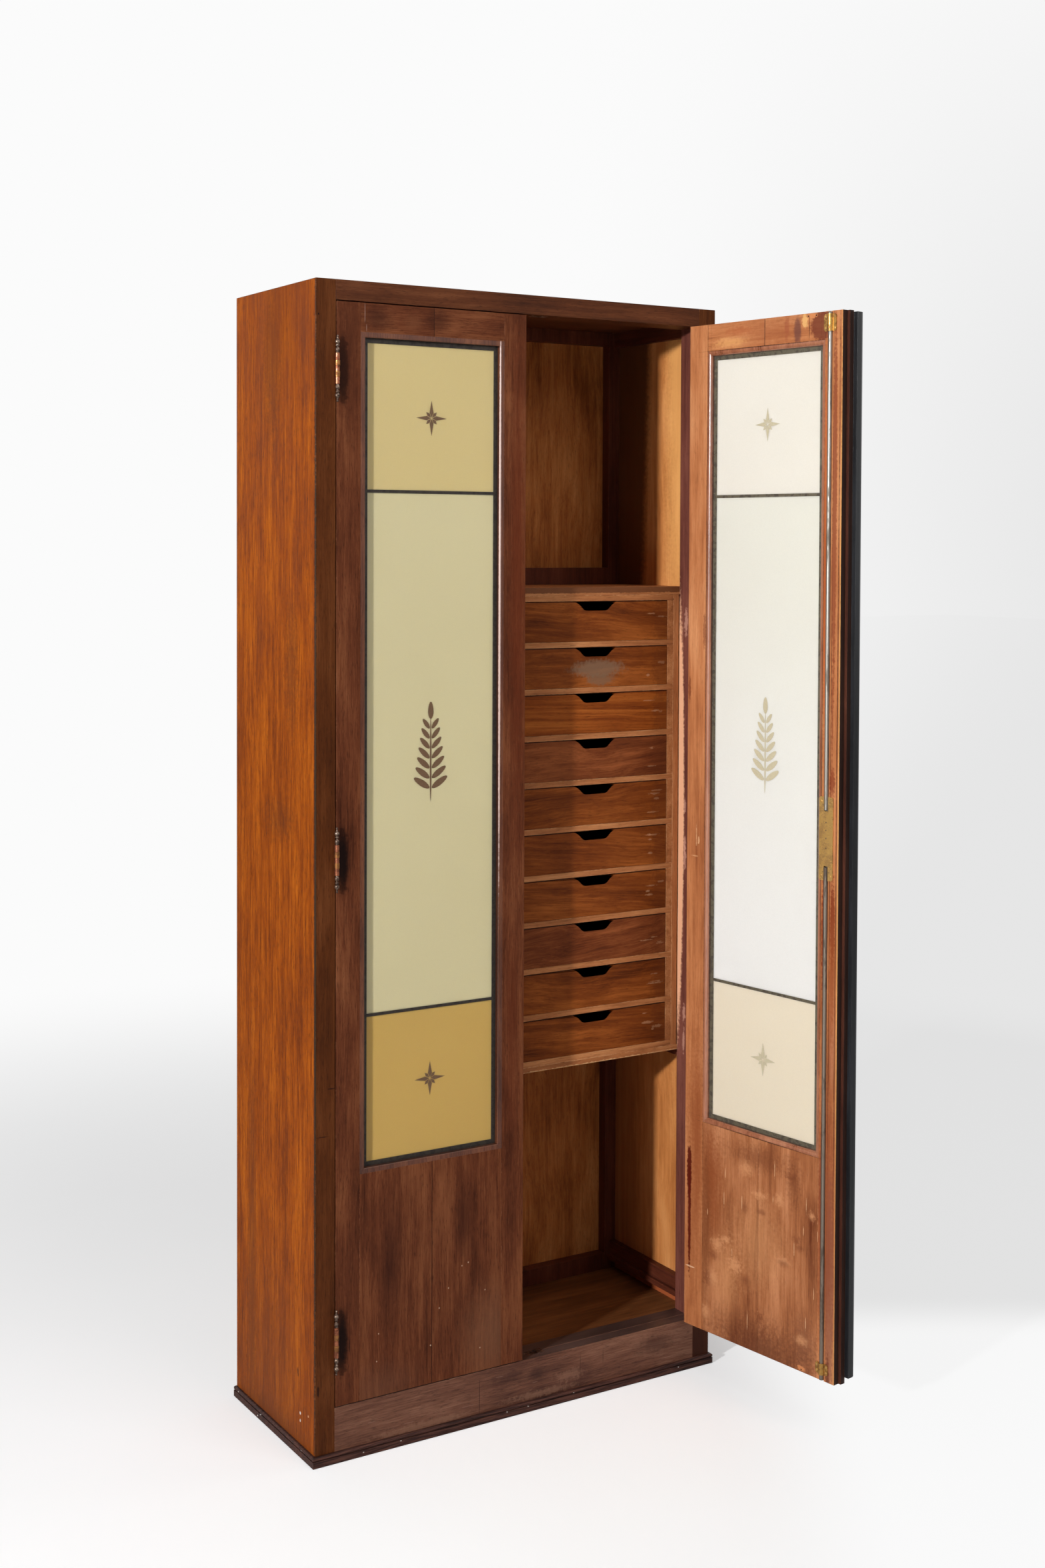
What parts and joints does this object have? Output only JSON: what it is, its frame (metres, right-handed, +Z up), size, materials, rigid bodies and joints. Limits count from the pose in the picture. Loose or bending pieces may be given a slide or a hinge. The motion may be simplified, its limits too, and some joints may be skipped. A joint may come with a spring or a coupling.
{
  "type": "card file cabinet",
  "caption": "Tall wooden cabinet with two tall doors of leaded frosted glass, and behind the right one a chest of shallow card drawers with finger notches.",
  "frame": {"origin": "centre of the base, on the underside of the middle base bearer", "axes": "+Z up, +X to the right seen from the front, and the front faces -Y"},
  "size_m": [0.8698, 0.7112, 2],
  "materials": {
    "side_veneer": "worn satin varnish",
    "frame_wood": "worn satin varnish",
    "door_wood": "worn satin varnish",
    "door_inner_wood": "worn varnish",
    "inside_wood": "thin varnish",
    "drawer_wood": "thin varnish",
    "drawer_box_wood": "bare",
    "moulding_wood": "dark stain",
    "strip_wood": "black paint",
    "back_wood": "thin varnish",
    "etched_glass": "frosted",
    "came_metal": "dull grey lead",
    "brass": "worn polish",
    "old_brass": "tarnished",
    "copper": "worn copper plate",
    "steel": "tarnished"
  },
  "bodies": {
    "root": {"side_panels": "side_veneer", "front_posts": "frame_wood", "back_frame": "frame_wood", "top_panel": "frame_wood", "top_front_rail": "frame_wood", "kick_rail": "frame_wood", "floor_board": "inside_wood", "side_battens": "frame_wood", "back_panel": "back_wood", "middle_partition": "inside_wood", "left_shelves": "inside_wood", "base_moulding": "moulding_wood", "base_bearers": "back_wood", "chest_case": "drawer_wood", "drawer_rails": "drawer_wood", "drawer_runners": "drawer_wood", "frame_hinge_leaves": "copper", "strike_plates": "old_brass"},
    "left_door": {"left_door_stiles": "door_wood", "left_door_rail": "door_wood", "left_door_panel": "door_wood", "left_door_beads": "door_wood", "left_door_cames": "came_metal", "left_door_glass": "etched_glass", "left_door_hinges": "brass"},
    "right_door": {"right_door_stiles": "door_inner_wood", "right_door_rail": "door_inner_wood", "right_door_panel": "door_inner_wood", "right_door_beads": "door_inner_wood", "right_door_cames": "came_metal", "right_door_glass": "etched_glass", "right_door_hinges": "brass", "cover_strip": "strip_wood", "lock_case": "old_brass", "rod_guides": "brass", "lock_screws": "old_brass", "knob_rose": "brass"},
    "upper_rod": {"upper_rod": "steel"},
    "lower_rod": {"lower_rod": "steel"},
    "turn_knob": {"turn_knob": "brass"},
    "drawer_1": {"drawer_front_1": "drawer_wood", "drawer_box_1": "drawer_box_wood"},
    "drawer_2": {"drawer_front_2": "drawer_wood", "drawer_box_2": "drawer_box_wood"},
    "drawer_3": {"drawer_front_3": "drawer_wood", "drawer_box_3": "drawer_box_wood"},
    "drawer_4": {"drawer_front_4": "drawer_wood", "drawer_box_4": "drawer_box_wood"},
    "drawer_5": {"drawer_front_5": "drawer_wood", "drawer_box_5": "drawer_box_wood"},
    "drawer_6": {"drawer_front_6": "drawer_wood", "drawer_box_6": "drawer_box_wood"},
    "drawer_7": {"drawer_front_7": "drawer_wood", "drawer_box_7": "drawer_box_wood"},
    "drawer_8": {"drawer_front_8": "drawer_wood", "drawer_box_8": "drawer_box_wood"},
    "drawer_9": {"drawer_front_9": "drawer_wood", "drawer_box_9": "drawer_box_wood"},
    "drawer_10": {"drawer_front_10": "drawer_wood", "drawer_box_10": "drawer_box_wood"}
  },
  "joints": [
    {"name": "left_door_hinge", "type": "hinge", "parent": "root", "child": "left_door", "pos_m": [-0.37575, -0.1699, 0.0945], "axis": [0, 0, -1], "range_deg": [0, 170]},
    {"name": "right_door_hinge", "type": "hinge", "parent": "root", "child": "right_door", "pos_m": [0.37575, -0.1699, 0.0945], "axis": [0, 0, 1], "range_deg": [-99, 76]},
    {"name": "knob_turn", "type": "hinge", "parent": "right_door", "child": "turn_knob", "pos_m": [0.42401, -0.50594, 1.049], "axis": [-0.9877, -0.1564, 0], "range_deg": [0, 90]},
    {"name": "upper_rod_slide", "type": "slide", "parent": "right_door", "child": "upper_rod", "axis": [0, 0, 1], "range_m": [0, 0.01]},
    {"name": "lower_rod_slide", "type": "slide", "parent": "right_door", "child": "lower_rod", "axis": [0, 0, -1], "range_m": [0, 0.01]},
    {"name": "drawer_1_slide", "type": "slide", "parent": "root", "child": "drawer_1", "axis": [0, -1, 0], "range_m": [0, 0.18]},
    {"name": "drawer_2_slide", "type": "slide", "parent": "root", "child": "drawer_2", "axis": [0, -1, 0], "range_m": [0, 0.18]},
    {"name": "drawer_3_slide", "type": "slide", "parent": "root", "child": "drawer_3", "axis": [0, -1, 0], "range_m": [0, 0.18]},
    {"name": "drawer_4_slide", "type": "slide", "parent": "root", "child": "drawer_4", "axis": [0, -1, 0], "range_m": [0, 0.18]},
    {"name": "drawer_5_slide", "type": "slide", "parent": "root", "child": "drawer_5", "axis": [0, -1, 0], "range_m": [0, 0.18]},
    {"name": "drawer_6_slide", "type": "slide", "parent": "root", "child": "drawer_6", "axis": [0, -1, 0], "range_m": [0, 0.18]},
    {"name": "drawer_7_slide", "type": "slide", "parent": "root", "child": "drawer_7", "axis": [0, -1, 0], "range_m": [0, 0.18]},
    {"name": "drawer_8_slide", "type": "slide", "parent": "root", "child": "drawer_8", "axis": [0, -1, 0], "range_m": [0, 0.18]},
    {"name": "drawer_9_slide", "type": "slide", "parent": "root", "child": "drawer_9", "axis": [0, -1, 0], "range_m": [0, 0.18]},
    {"name": "drawer_10_slide", "type": "slide", "parent": "root", "child": "drawer_10", "axis": [0, -1, 0], "range_m": [0, 0.18]}
  ],
  "couplings": [
    {"joint": "lower_rod_slide", "follows": "upper_rod_slide", "ratio": 1},
    {"joint": "knob_turn", "follows": "upper_rod_slide", "rad_per_m": 157.08}
  ]
}
